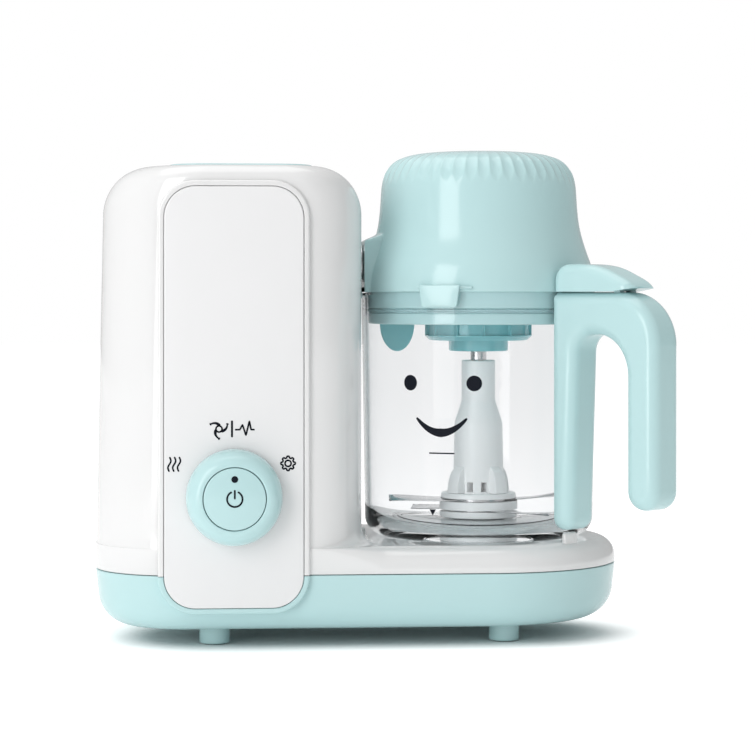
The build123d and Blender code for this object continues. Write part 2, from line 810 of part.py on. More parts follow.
with BuildPart() as pivot_pin:
    disc(level(0, 0, jar_floor - 1.4), pivot_radius, 28)
    fillet(edges().group_by(Axis.Z)[-1], 1.2)
finish(pivot_pin, "pivot_pin")

with BuildPart() as thrust_washer:
    ring(level(0, 0, jar_floor), 15, 8.1, 1.6)
finish(thrust_washer, "thrust_washer")

with BuildPart() as blade_bush:
    bush_low = jar_floor + 1.6
    ring(level(0, 0, bush_low), bush_radius, pivot_radius + 0.05, 26)
finish(blade_bush, "blade_bush")

with BuildPart() as blade_base:
    turn(
        [
            (bush_radius, 59.5), (post_foot_radius - 1.2, 59.5), (post_foot_radius, 60.7),
            (post_foot_radius, lower_blade_z), (bush_radius, lower_blade_z),
        ]
    )
finish(blade_base, "blade_base")


def blade_plan(plane):
    """Two curved blades, opposite each other, round the post's bush."""
    with BuildSketch(plane) as plan:
        Circle(16)
        with PolarLocations(0, 2):
            with BuildLine():
                lead = Spline((10, -9), (30, -12), (blade_reach, 2))
                tip = Line(lead @ 1, (blade_reach - 4, 6))
                trail = Spline(tip @ 1, (30, 1), (10, 9))
                Line(trail @ 1, lead @ 0)
            make_face()
        Circle(bush_radius, mode=Mode.SUBTRACT)
    return plan.sketch


with BuildPart() as lower_blades:
    extrude(blade_plan(level(0, 0, lower_blade_z).rotated((0, 0, -52))), amount=blade_thick)
finish(lower_blades, "lower_blades")

with BuildPart() as blade_spacer:
    spacer_low = lower_blade_z + blade_thick
    ring(level(0, 0, spacer_low), post_foot_radius, bush_radius, upper_blade_z - spacer_low)
finish(blade_spacer, "blade_spacer")

with BuildPart() as upper_blades:
    extrude(blade_plan(level(0, 0, upper_blade_z).rotated((0, 0, 8))), amount=blade_thick)
finish(upper_blades, "upper_blades")

with BuildPart() as blade_post:
    post_low = upper_blade_z + blade_thick
    turn(
        [
            (0, post_low), (19.2, post_low), (19.2, 77.5), (13.8, 89), (13.5, 115), (9.4, 127.5),
            (9.4, post_top - 1), (8.4, post_top), (0, post_top),
        ]
    )
    disc(level(0, 0, post_low - 1), bush_radius, 12.2, Mode.SUBTRACT)
    hexagon(level(0, 0, tip_low - 1.2), tip_flats + 0.7, 20, Mode.SUBTRACT)
    for angle in range(20, 380, 90):
        spot = facing_out(angle + 45, 20.5, 0).origin
        window = Plane(origin=(spot.X, spot.Y, post_low + 2)).rotated((0, 0, angle + 45))
        slab(window, 9, 11, 8, 1, Mode.SUBTRACT)
finish(blade_post, "blade_post")


# ---------------------------------------------------------------------------
# Handle
# ---------------------------------------------------------------------------
handle_plane = section_at(handle_angle)


def handle_body():
    """Whole handle before it is split into its shell and its inner grip."""
    with BuildPart() as body:
        with BuildSketch(handle_plane) as outline:
            Polygon(
                (handle_inner - 4, handle_top), (handle_inner - 4, inner_leg_low),
                (inner_leg_foot, inner_leg_low), (inner_leg_out, arch_top), (outer_leg_in, arch_top),
                (outer_leg_in, outer_leg_low), (outer_leg_out, outer_leg_low), (outer_leg_out, handle_top),
                align=None,
            )
            for corner, radius in (
                ((handle_inner - 4, inner_leg_low), 6.8),
                ((inner_leg_foot, inner_leg_low), 6.8),
                ((inner_leg_out, arch_top), 10.0),
                ((outer_leg_in, arch_top), 22.0),
                ((outer_leg_in, outer_leg_low), 10.0),
                ((outer_leg_out, outer_leg_low), 10.0),
                ((outer_leg_out, handle_top), 28.0),
            ):
                fillet(outline.vertices().sort_by_distance(corner)[0], radius)
        extrude(outline.sketch, amount=handle_half_width, both=True)
    return body.part


def rounded_handle():
    """Handle body with soft edges, hollowed to the jar's wall on its inner side."""
    with BuildPart() as rounded:
        add(handle_body())
        side_edges = edges().filter_by(
            lambda e: abs(abs(handle_plane.to_local_coords(e.center()).Z) - handle_half_width) < 0.01
        )
        soft = side_edges.filter_by(
            lambda e: handle_plane.to_local_coords(e.center()).X > handle_inner
            and handle_plane.to_local_coords(e.center()).Y < handle_top - 0.1
        )
        fillet(soft, handle_round)
        disc(level(0, 0, 50), handle_inner, 150, Mode.SUBTRACT)
    return rounded.part


def grip_region(mode):
    """Region of the handle's inner grip: the inner leg and the inside of the arch."""
    with BuildSketch(handle_plane) as region:
        with BuildLine():
            bend = Spline(
                (84, grip_seam_z), (97, grip_seam_z - 2.2), (109.5, grip_seam_z - 11), (115.8, grip_seam_z - 25),
                (118, grip_seam_z - 45), tangents=((1, 0), (0, -1)),
            )
            Polyline(bend @ 1, (118, 40), (40, 40), (40, grip_seam_z), bend @ 0)
        make_face()
    extrude(region.sketch, amount=handle_half_width + 2, both=True, mode=mode)


with BuildPart() as handle_grip:
    add(rounded_handle())
    grip_region(Mode.INTERSECT)
finish(handle_grip, "handle_grip")

with BuildPart() as handle_shell:
    add(rounded_handle())
    grip_region(Mode.SUBTRACT)
    for side in (-1, 1):
        ear_middle = side * latch_knuckle_middle
        with BuildSketch(handle_plane.offset(ear_middle - latch_knuckle_width / 2)) as ear:
            with Locations((latch_hinge_rho, latch_hinge_z)):
                Circle(latch_knuckle)
            with Locations((latch_hinge_rho, latch_hinge_z - 2)):
                Rectangle(2 * latch_knuckle, 4)
            with Locations((latch_hinge_rho, latch_hinge_z)):
                Circle(latch_pin_radius, mode=Mode.SUBTRACT)
        extrude(ear.sketch, amount=latch_knuckle_width)
finish(handle_shell, "handle_shell")

with BuildPart() as thumb_latch:
    with BuildSketch(handle_plane) as latch_side:
        with BuildLine():
            low_edge = Polyline(
                (64, latch_high - 9), (64, latch_low), (latch_hinge_rho + 0.5, latch_low),
                (latch_tip_rho - 1, latch_low + latch_tip_lift),
            )
            nose = Line(low_edge @ 1, (latch_tip_rho, latch_low + latch_tip_lift + 0.9))
            crown = Spline(
                nose @ 1, (107.5, latch_high - 6.4), (97, latch_high - 2.2), (84, latch_high - 0.2),
                (73, latch_high), tangents=((-0.5, 0.6), (-1, 0)),
            )
            JernArc(crown @ 1, (-1, 0), 9, 90)
        make_face()
    extrude(latch_side.sketch, amount=handle_half_width, both=True)
    crown_edges = edges().filter_by(
        lambda e: abs(abs(handle_plane.to_local_coords(e.center()).Z) - handle_half_width) < 0.01
        and handle_plane.to_local_coords(e.center()).Y > latch_low + 3
        and handle_plane.to_local_coords(e.center()).X > 65
    )
    fillet(crown_edges, latch_crown_round)
    with BuildPart(mode=Mode.INTERSECT):
        latch_floor = Plane(
            origin=(jar_x, jar_y, latch_low - 1), x_dir=handle_plane.x_dir, z_dir=(0, 0, 1)
        )
        with BuildSketch(latch_floor) as latch_plan:
            with Locations((latch_tip_rho / 2, 0)):
                Rectangle(latch_tip_rho, 2 * handle_half_width)
            fillet(latch_plan.vertices().sort_by_distance((jar_x, jar_y))[-2:], latch_tip_round)
        extrude(latch_plan.sketch, amount=40)
    slab(facing_out(handle_angle, latch_inner_face, latch_high), 60, 60, -30, 0, Mode.SUBTRACT)
    for side in (-1, 1):
        pocket_width = latch_knuckle_width + 1
        with BuildSketch(handle_plane.offset(side * latch_knuckle_middle - pocket_width / 2)) as pocket:
            with Locations((latch_hinge_rho, latch_hinge_z)):
                Circle(latch_knuckle + 0.4)
            with Locations((latch_hinge_rho, latch_hinge_z - 3)):
                Rectangle(2 * latch_knuckle + 1.8, 6)
        extrude(pocket.sketch, amount=pocket_width, mode=Mode.SUBTRACT)
    with BuildSketch(handle_plane.offset(latch_pin_end + 0.2)) as pin_hole:
        with Locations((latch_hinge_rho, latch_hinge_z)):
            Circle(latch_pin_radius + 0.05)
    extrude(pin_hole.sketch, amount=-30, mode=Mode.SUBTRACT)
finish(thumb_latch, "thumb_latch")

with BuildPart() as latch_pin:
    with BuildSketch(handle_plane.offset(latch_pin_end)) as pin_section:
        with Locations((latch_hinge_rho, latch_hinge_z)):
            Circle(latch_pin_radius)
    extrude(pin_section.sketch, amount=-2 * latch_pin_end)
finish(latch_pin, "latch_pin")
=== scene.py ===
import json
import math

import bmesh
import bpy
import numpy as np
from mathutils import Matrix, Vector


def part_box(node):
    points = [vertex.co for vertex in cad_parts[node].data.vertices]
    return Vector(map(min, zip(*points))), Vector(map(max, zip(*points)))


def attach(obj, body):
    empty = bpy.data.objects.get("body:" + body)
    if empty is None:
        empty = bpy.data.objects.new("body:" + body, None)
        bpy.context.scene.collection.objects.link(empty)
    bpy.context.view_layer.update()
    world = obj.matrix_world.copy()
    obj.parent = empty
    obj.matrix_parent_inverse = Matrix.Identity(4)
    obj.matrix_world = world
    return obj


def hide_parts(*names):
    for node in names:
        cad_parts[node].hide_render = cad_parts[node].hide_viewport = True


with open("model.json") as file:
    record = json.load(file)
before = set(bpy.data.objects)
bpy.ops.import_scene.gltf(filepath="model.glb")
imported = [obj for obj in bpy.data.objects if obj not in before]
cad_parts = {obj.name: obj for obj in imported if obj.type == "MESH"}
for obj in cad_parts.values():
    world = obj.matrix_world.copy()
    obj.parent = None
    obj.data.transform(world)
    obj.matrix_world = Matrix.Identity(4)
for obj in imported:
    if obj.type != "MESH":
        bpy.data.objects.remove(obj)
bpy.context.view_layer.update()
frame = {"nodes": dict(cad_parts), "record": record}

MM = 0.001
SHARP_ANGLE = math.radians(32)
MERGE_DISTANCE = 2e-6
EMPTY_EDGE = 1e-7


def centre_of(node):
    """Middle of a CAD node's box, in millimetres."""
    low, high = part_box(node)
    return [(a + b) / 2 / MM for a, b in zip(low, high)]


JAR_X, JAR_Y, _ = centre_of("blade_spacer")


# ---------------------------------------------------------------------------
# Mesh helpers. Shapes are worked out in millimetres, with X and Y from the jar's axis.
# ---------------------------------------------------------------------------
def make_mesh(name, points, faces, sharp=SHARP_ANGLE):
    """Smooth-shaded mesh object from points in millimetres from the jar's axis."""
    mesh = bpy.data.meshes.new(name)
    shift = np.array([JAR_X, JAR_Y, 0.0])
    mesh.from_pydata(((np.array(points, float) + shift) * MM).tolist(), [], faces)
    mesh.validate()
    mesh.polygons.foreach_set("use_smooth", [True] * len(mesh.polygons))
    mesh.set_sharp_from_angle(angle=sharp)
    piece = bpy.data.objects.new(name, mesh)
    bpy.context.scene.collection.objects.link(piece)
    return piece


def skin(name, rings, closed=True, first_cap=False, last_cap=False, sharp=SHARP_ANGLE):
    """Quads between rings of equal length; the caps close the two ends."""
    count = len(rings[0])
    points = [p for ring in rings for p in ring]
    faces = []
    span = count if closed else count - 1
    for level in range(len(rings) - 1):
        low, high = level * count, (level + 1) * count
        for i in range(span):
            j = (i + 1) % count
            faces.append((low + i, low + j, high + j, high + i))
    if first_cap:
        faces.append(tuple(range(count))[::-1])
    if last_cap:
        faces.append(tuple(range((len(rings) - 1) * count, len(rings) * count)))
    piece = make_mesh(name, points, faces, sharp)
    clean(piece)
    return piece


def clean(piece):
    """Merge points that fall together, drop empty faces and turn all faces outwards."""
    work = bmesh.new()
    work.from_mesh(piece.data)
    bmesh.ops.remove_doubles(work, verts=work.verts, dist=MERGE_DISTANCE)
    bmesh.ops.dissolve_degenerate(work, edges=work.edges, dist=EMPTY_EDGE)
    bmesh.ops.recalc_face_normals(work, faces=work.faces)
    work.to_mesh(piece.data)
    work.free()


def join(name, *parts):
    """One object from several."""
    bpy.ops.object.select_all(action="DESELECT")
    for part in parts:
        part.select_set(True)
    bpy.context.view_layer.objects.active = parts[0]
    bpy.ops.object.join()
    parts[0].name = name
    return parts[0]


def rounded(points, radii, turn=7.5):
    """Open path with an arc at each inner corner; radii holds one radius for each inner corner."""
    path = [np.array(points[0], float)]
    for before, corner, after, radius in zip(points, points[1:], points[2:], radii):
        before, corner, after = (np.array(p, float) for p in (before, corner, after))
        back, ahead = before - corner, after - corner
        back /= np.linalg.norm(back)
        ahead /= np.linalg.norm(ahead)
        bend = math.pi - math.acos(float(np.clip(back @ ahead, -1, 1)))
        if radius <= 0 or bend < 1e-3:
            path.append(corner)
            continue
        reach = radius * math.tan(bend / 2)
        middle = back + ahead
        centre = corner + middle / np.linalg.norm(middle) * radius / math.cos(bend / 2)
        start, end = corner + back * reach - centre, corner + ahead * reach - centre
        steps = max(2, math.ceil(math.degrees(bend) / turn))
        for k in range(steps + 1):
            share = k / steps
            blend = (math.sin((1 - share) * bend) * start + math.sin(share * bend) * end) / math.sin(bend)
            path.append(centre + blend)
    path.append(np.array(points[-1], float))
    return path


def lathe(name, profile, steps=128, place=(0, 0), dent=None, sharp=SHARP_ANGLE):
    """Turned shape about an upright axis, from (radius, height) points.

    dent(angle, radius, height) says how far a point is pushed in.
    """
    rings = []
    for radius, height in profile:
        ring = []
        for k in range(steps):
            angle = 2 * math.pi * k / steps
            r = max(radius - (dent(angle, radius, height) if dent else 0), 0)
            ring.append((place[0] + r * math.cos(angle), place[1] + r * math.sin(angle), height))
        rings.append(ring)
    return skin(name, rings, sharp=sharp)


def lathe_front(name, profile, x, z, steps=96):
    """Turned shape about an axis along Y, from (radius, y) points."""
    rings = []
    for radius, y in profile:
        turn = [2 * math.pi * k / steps for k in range(steps)]
        rings.append([(x + radius * math.cos(a), y, z + radius * math.sin(a)) for a in turn])
    return skin(name, rings)


def smooth_curve(points, per_span=8):
    """Catmull-Rom curve through points."""
    pts = [np.array(p, float) for p in points]
    pts = [2 * pts[0] - pts[1]] + pts + [2 * pts[-1] - pts[-2]]
    curve = []
    for a, b, c, d in zip(pts, pts[1:], pts[2:], pts[3:]):
        for k in range(per_span):
            t = k / per_span
            curve.append(0.5 * (2 * b + (c - a) * t + (2 * a - 5 * b + 4 * c - d) * t**2
                                + (3 * b - a - 3 * c + d) * t**3))
    curve.append(pts[-2])
    return curve


def rounded_rectangle(width, height, radius, steps=12, middle=(0, 0)):
    """Closed outline of a rounded rectangle, counter-clockwise."""
    outline = []
    for quarter, (sx, sy) in enumerate(((1, -1), (1, 1), (-1, 1), (-1, -1))):
        cx = middle[0] + sx * (width / 2 - radius)
        cy = middle[1] + sy * (height / 2 - radius)
        for k in range(steps + 1):
            angle = math.radians(-90 + 90 * quarter + 90 * k / steps)
            outline.append((cx + radius * math.cos(angle), cy + radius * math.sin(angle)))
    return outline


def pillow(name, outline, half, edge, place, steps=6):
    """Flat shape of a given half thickness with a rounded edge; place(u, v, w) gives the point in space."""
    pts = np.array(outline, float)
    ahead = np.roll(pts, -1, 0) - pts
    ahead /= np.maximum(np.linalg.norm(ahead, axis=1)[:, None], 1e-9)
    along = ahead + np.roll(ahead, 1, 0)
    along /= np.linalg.norm(along, axis=1)[:, None]
    inward = np.stack([-along[:, 1], along[:, 0]], 1)
    turns = [math.pi / 2 * k / steps for k in range(steps + 1)]
    levels = [(edge * (1 - math.sin(a)), half - edge * (1 - math.cos(a))) for a in turns]
    levels += [(inset, -w) for inset, w in reversed(levels)]
    rings = [[place(u, v, w) for u, v in pts + inward * inset] for inset, w in levels]
    return skin(name, rings, first_cap=True, last_cap=True)


# ---------------------------------------------------------------------------
# Camera, floor and light
# ---------------------------------------------------------------------------
CAMERA_YAW = math.radians(-4.5)
CAMERA_DISTANCE = 1400
CAMERA_HEIGHT = 185
CAMERA_ASIDE = -56.5
LENS = 119.2
FRAME_SHIFT = -0.1027


def make_camera():
    """Camera a little to the left of the front, level, with the frame shifted down."""
    data = bpy.data.cameras.new("camera")
    data.lens = LENS
    data.sensor_width = 36.0
    data.shift_y = FRAME_SHIFT
    camera = bpy.data.objects.new("camera", data)
    bpy.context.scene.collection.objects.link(camera)
    ahead = Vector((-math.sin(CAMERA_YAW), math.cos(CAMERA_YAW), 0))
    right = Vector((math.cos(CAMERA_YAW), math.sin(CAMERA_YAW), 0))
    stand = Vector((JAR_X, JAR_Y, CAMERA_HEIGHT))
    camera.location = (stand - CAMERA_DISTANCE * ahead + CAMERA_ASIDE * right) * MM
    camera.rotation_euler = (math.radians(90), 0, CAMERA_YAW)
    bpy.context.scene.camera = camera


def area_light(name, place, aim, size, power, colour=(1, 1, 1)):
    """Rectangular soft light at a place in metres, turned towards a point."""
    data = bpy.data.lights.new(name, "AREA")
    data.shape = "RECTANGLE"
    data.size, data.size_y = size
    data.energy = power
    data.color = colour
    light = bpy.data.objects.new(name, data)
    light.location = place
    light.rotation_euler = (Vector(aim) - Vector(place)).to_track_quat("-Z", "Y").to_euler()
    bpy.context.scene.collection.objects.link(light)


def math_node(tree, operation, first, second):
    """One step of arithmetic; each value is a socket or a number."""
    node = tree.nodes.new("ShaderNodeMath")
    node.operation = operation
    for socket, value in zip(node.inputs, (first, second)):
        if isinstance(value, (int, float)):
            socket.default_value = value
        else:
            tree.links.new(value, socket)
    return node.outputs[0]


SKY_LEVEL = 0.425
SKY_FROM_RIGHT = -0.20
SKY_FROM_ABOVE = 0.44
SKY_FROM_BEHIND = 0.05
FLOOR_GREY = 0.95
GLOW_HALF_LENGTH = 0.085
GLOW_START = 0.036
GLOW_END = 0.07
GLOW_STRENGTH = 0.4
GLOW_AS_LIGHT = 0.5


def make_world():
    """White backdrop to the camera and through the clear jar.

    As light it is bright from the left and above and greyer on the right.
    """
    world = bpy.data.worlds.new("studio")
    bpy.context.scene.world = world
    world.use_nodes = True
    tree = world.node_tree
    tree.nodes.clear()
    coords = tree.nodes.new("ShaderNodeTexCoord")
    split = tree.nodes.new("ShaderNodeSeparateXYZ")
    tree.links.new(coords.outputs["Generated"], split.inputs[0])
    from_side = math_node(tree, "MULTIPLY", split.outputs["X"], SKY_FROM_RIGHT)
    from_above = math_node(tree, "MULTIPLY", split.outputs["Z"], SKY_FROM_ABOVE)
    from_behind = math_node(tree, "MULTIPLY", split.outputs["Y"], SKY_FROM_BEHIND)
    level = math_node(tree, "ADD", math_node(tree, "ADD", from_side, from_above), from_behind)
    light = tree.nodes.new("ShaderNodeBackground")
    light.inputs["Color"].default_value = (1, 1, 1, 1)
    tree.links.new(math_node(tree, "ADD", level, SKY_LEVEL), light.inputs["Strength"])
    white = tree.nodes.new("ShaderNodeBackground")
    white.inputs["Color"].default_value = (1, 1, 1, 1)
    path = tree.nodes.new("ShaderNodeLightPath")
    inside = math_node(tree, "MINIMUM", path.outputs["Transmission Depth"], 1)
    not_diffuse = math_node(tree, "SUBTRACT", 1, path.outputs["Is Diffuse Ray"])
    inside = math_node(tree, "MULTIPLY", inside, not_diffuse)
    seen = math_node(tree, "MAXIMUM", path.outputs["Is Camera Ray"], inside)
    mix = tree.nodes.new("ShaderNodeMixShader")
    tree.links.new(seen, mix.inputs[0])
    tree.links.new(light.outputs[0], mix.inputs[1])
    tree.links.new(white.outputs[0], mix.inputs[2])
    out = tree.nodes.new("ShaderNodeOutputWorld")
    tree.links.new(mix.outputs[0], out.inputs["Surface"])


def make_studio():
    """Pale floor that glows a little away from the object, and soft lights."""
    rings = [(r, 0.0) for r in (0.01, 300, 900, 3000, 9000)]
    floor = lathe("floor", rings, 96)
    paint = bpy.data.materials.new("floor")
    paint.use_nodes = True
    tree = paint.node_tree
    shader = tree.nodes["Principled BSDF"]
    shader.inputs["Base Color"].default_value = (FLOOR_GREY, FLOOR_GREY, FLOOR_GREY, 1)
    shader.inputs["Roughness"].default_value = 0.9
    shader.inputs["Specular IOR Level"].default_value = 0.1
    place = tree.nodes.new("ShaderNodeNewGeometry")
    split = tree.nodes.new("ShaderNodeSeparateXYZ")
    tree.links.new(place.outputs["Position"], split.inputs[0])
    beside = math_node(tree, "SUBTRACT", math_node(tree, "ABSOLUTE", split.outputs["X"], 0), GLOW_HALF_LENGTH)
    beside = math_node(tree, "POWER", math_node(tree, "MAXIMUM", beside, 0), 2)
    ahead = math_node(tree, "POWER", split.outputs["Y"], 2)
    away = math_node(tree, "POWER", math_node(tree, "ADD", beside, ahead), 0.5)
    glow = tree.nodes.new("ShaderNodeMapRange")
    glow.interpolation_type = "SMOOTHSTEP"
    glow.inputs["From Min"].default_value = GLOW_START
    glow.inputs["From Max"].default_value = GLOW_END
    glow.inputs["To Max"].default_value = GLOW_STRENGTH
    tree.links.new(away, glow.inputs["Value"])
    shader.inputs["Emission Color"].default_value = (1, 1, 1, 1)
    path = tree.nodes.new("ShaderNodeLightPath")
    share = math_node(tree, "MAXIMUM", path.outputs["Is Camera Ray"], GLOW_AS_LIGHT)
    tree.links.new(math_node(tree, "MULTIPLY", glow.outputs[0], share), shader.inputs["Emission Strength"])
    floor.data.materials.append(paint)
    area_light("key_light", (-0.86, -1.07, 0.50), (0.05, 0, 0.15), (0.56, 1.1), 7.0)
    area_light("top_light", (-0.2, 0.1, 1.5), (0, 0, 0.1), (1.2, 1.2), 5.6)
    bpy.context.scene.view_settings.view_transform = "Standard"


make_camera()
make_world()
make_studio()


# ---------------------------------------------------------------------------
# Materials
# ---------------------------------------------------------------------------
def new_material(name):
    """Empty node material with its principled shader."""
    material = bpy.data.materials.new(name)
    material.use_nodes = True
    tree = material.node_tree
    return material, tree, tree.nodes["Principled BSDF"]


def noise(tree, scale, detail=4.0, stretch=None):
    """Noise in object space, in waves per metre; stretch squeezes it along the axes."""
    coords = tree.nodes.new("ShaderNodeTexCoord")
    wave = tree.nodes.new("ShaderNodeTexNoise")
    wave.inputs["Scale"].default_value = scale
    wave.inputs["Detail"].default_value = detail
    source = coords.outputs["Object"]
    if stretch:
        mapping = tree.nodes.new("ShaderNodeMapping")
        mapping.inputs["Scale"].default_value = stretch
        tree.links.new(source, mapping.inputs["Vector"])
        source = mapping.outputs[0]
    tree.links.new(source, wave.inputs["Vector"])
    return wave.outputs["Fac"]


def ramp(tree, value, low, high):
    """Value from 0 to 1 spread between low and high."""
    spread = tree.nodes.new("ShaderNodeMapRange")
    spread.inputs["From Min"].default_value = 0.3
    spread.inputs["From Max"].default_value = 0.7
    spread.inputs["To Min"].default_value = low
    spread.inputs["To Max"].default_value = high
    tree.links.new(value, spread.inputs["Value"])
    return spread.outputs[0]


def tint(tree, value, dark, light):
    """Colour that drifts between two near shades."""
    mix = tree.nodes.new("ShaderNodeMix")
    mix.data_type = "RGBA"
    mix.inputs[6].default_value = (*dark, 1)
    mix.inputs[7].default_value = (*light, 1)
    tree.links.new(value, mix.inputs[0])
    return mix.outputs[2]


def bump(tree, value, distance, strength=1.0):
    """Fine relief, its height in metres."""
    relief = tree.nodes.new("ShaderNodeBump")
    relief.inputs["Distance"].default_value = distance
    relief.inputs["Strength"].default_value = strength
    tree.links.new(value, relief.inputs["Height"])
    return relief.outputs[0]


def plastic(name, colour, rough=(0.2, 0.28), grain=0.00002, grain_scale=900, drift=0.012,
            shine=0.5, ior=1.5):
    """Moulded plastic: near-even colour, gloss that varies a little, faint moulding texture."""
    material, tree, shader = new_material(name)
    wide = noise(tree, 9, 3)
    fine = noise(tree, grain_scale, 2)
    dark = tuple(c * (1 - drift) for c in colour)
    light = tuple(min(c * (1 + drift * 0.6), 1) for c in colour)
    tree.links.new(tint(tree, wide, dark, light), shader.inputs["Base Color"])
    tree.links.new(ramp(tree, noise(tree, 40, 4), *rough), shader.inputs["Roughness"])
    tree.links.new(bump(tree, fine, grain), shader.inputs["Normal"])
    shader.inputs["IOR"].default_value = ior
    shader.inputs["Specular IOR Level"].default_value = shine
    return material


def metal(name, colour, rough=(0.22, 0.36), stretch=(1, 1, 12), lines=160):
    """Metal with drawn or turned lines in its gloss and relief."""
    material, tree, shader = new_material(name)
    brush = noise(tree, lines, 5, stretch)
    dark = tuple(c * 0.9 for c in colour)
    tree.links.new(tint(tree, brush, dark, colour), shader.inputs["Base Color"])
    tree.links.new(ramp(tree, brush, *rough), shader.inputs["Roughness"])
    tree.links.new(bump(tree, brush, 0.00001), shader.inputs["Normal"])
    shader.inputs["Metallic"].default_value = 1.0
    return material


def clear_plastic(name, tint_colour, rough=0.02):
    """Clear moulded plastic with a very faint flow texture; its shadow is nearly clear too."""
    material, tree, shader = new_material(name)
    flow = noise(tree, 30, 2)
    deeper = tuple(c * 0.99 for c in tint_colour)
    tree.links.new(tint(tree, flow, deeper, tint_colour), shader.inputs["Base Color"])
    tree.links.new(ramp(tree, noise(tree, 60, 3), rough * 0.5, rough * 1.5), shader.inputs["Roughness"])
    tree.links.new(bump(tree, flow, 0.00003), shader.inputs["Normal"])
    shader.inputs["Transmission Weight"].default_value = 1.0
    shader.inputs["IOR"].default_value = 1.28
    clear = tree.nodes.new("ShaderNodeBsdfTransparent")
    clear.inputs["Color"].default_value = (0.93, 0.95, 0.955, 1)
    path = tree.nodes.new("ShaderNodeLightPath")
    mix = tree.nodes.new("ShaderNodeMixShader")
    out = tree.nodes["Material Output"]
    unseen = math_node(tree, "MAXIMUM", path.outputs["Is Shadow Ray"], path.outputs["Is Diffuse Ray"])
    tree.links.new(unseen, mix.inputs[0])
    tree.links.new(shader.outputs[0], mix.inputs[1])
    tree.links.new(clear.outputs[0], mix.inputs[2])
    tree.links.new(mix.outputs[0], out.inputs["Surface"])
    return material


TEAL = (0.475, 0.685, 0.695)
MATERIALS = {
    "shell_teal": plastic("shell_teal", TEAL, (0.10, 0.15)),
    "body_white": plastic(
        "body_white", (0.75, 0.75, 0.75), (0.035, 0.07), grain=0.000004, drift=0.008, ior=1.7,
    ),
    "panel_white": plastic(
        "panel_white", (0.77, 0.77, 0.775), (0.34, 0.42), grain=0.00002, grain_scale=1800, drift=0.008,
    ),
    "jar_clear": clear_plastic("jar_clear", (0.955, 0.96, 0.965)),
    "steel": metal("steel", (0.62, 0.62, 0.63)),
    "rubber_dark": plastic("rubber_dark", (0.03, 0.035, 0.035), (0.6, 0.75), drift=0.15),
    "silicone": plastic("silicone", (0.40, 0.58, 0.60), (0.45, 0.6)),
    "tank_clear": plastic("tank_clear", (0.76, 0.82, 0.83), (0.25, 0.35)),
    "inner_white": plastic("inner_white", (0.93, 0.93, 0.93), (0.34, 0.44), grain=0.00003),
    "aluminium": metal("aluminium", (0.72, 0.72, 0.73), (0.3, 0.5), (1, 1, 1)),
    "copper": metal("copper", (0.72, 0.40, 0.22), (0.3, 0.45), (1, 1, 20), 300),
    "brass": metal("brass", (0.78, 0.60, 0.30), (0.2, 0.35)),
    "board_green": plastic("board_green", (0.03, 0.18, 0.09), (0.3, 0.45), drift=0.2),
    "magnet_dark": plastic("magnet_dark", (0.06, 0.06, 0.065), (0.5, 0.65), drift=0.2),
    "print_dark": plastic("print_dark", (0.004, 0.006, 0.012), (0.55, 0.65), shine=0.15),
}
NODE_SLOTS = {row["node"]: row["material_slot"] for row in frame["record"]["subparts"]}
for node, piece in frame["nodes"].items():
    piece.data.materials.clear()
    piece.data.materials.append(MATERIALS[NODE_SLOTS[node]])
BODY_OF = {node: body for body, members in frame["record"]["behaviour"]["bodies"].items() for node in members}


def dress(piece, slot, node=None, body=None):
    """Give a piece its material and body; it stands for the CAD node, if one is named."""
    piece.data.materials.clear()
    piece.data.materials.append(MATERIALS[slot])
    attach(piece, body or BODY_OF[node])
    if node:
        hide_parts(node)
    return piece


# ---------------------------------------------------------------------------
# Base and tower
# ---------------------------------------------------------------------------
BASE_LEFT, HALF_DEPTH, LEFT_CORNER = -212.0, 76.0, 50.0
SEAM_Z, DECK_Z, DECK_ROUND = 40.0, 54.0, 11.0
TOWER_RIGHT, TOWER_TOP, TOP_ROUND, FRONT_ROUND, RIGHT_CORNER = -68.8, 256.6, 26.0, 9.0, 34.0
SPRING_Z = TOWER_TOP - TOP_ROUND
TOWER_MIDDLE = -140.0
PANEL_X, PANEL_WIDTH, PANEL_LOW, PANEL_HIGH, PANEL_CORNER = -138.3, 73.2, 23.3, 244.7, 16.5
SEAM_GAP = 0.2


def base_outline(inset):
    """Plan of the base, pulled in by an inset: half circle on the right, rounded corners on the left."""
    left, half, corner = BASE_LEFT + inset, HALF_DEPTH - inset, LEFT_CORNER - inset
    outline = []
    for k in range(97):
        angle = math.radians(-90 + 180 * k / 96)
        outline.append((half * math.cos(angle), half * math.sin(angle)))
    outline += [((left + corner) * k / 72, half) for k in range(1, 72)]
    for k in range(33):
        angle = math.radians(90 + 90 * k / 32)
        outline.append((left + corner + corner * math.cos(angle), half - corner + corner * math.sin(angle)))
    outline += [(left, (half - corner) * (1 - k / 6)) for k in range(1, 12)]
    for k in range(33):
        angle = math.radians(180 + 90 * k / 32)
        outline.append((left + corner + corner * math.cos(angle), corner - half + corner * math.sin(angle)))
    outline += [((left + corner) * (1 - k / 72), -half) for k in range(1, 72)]
    return np.array(outline)


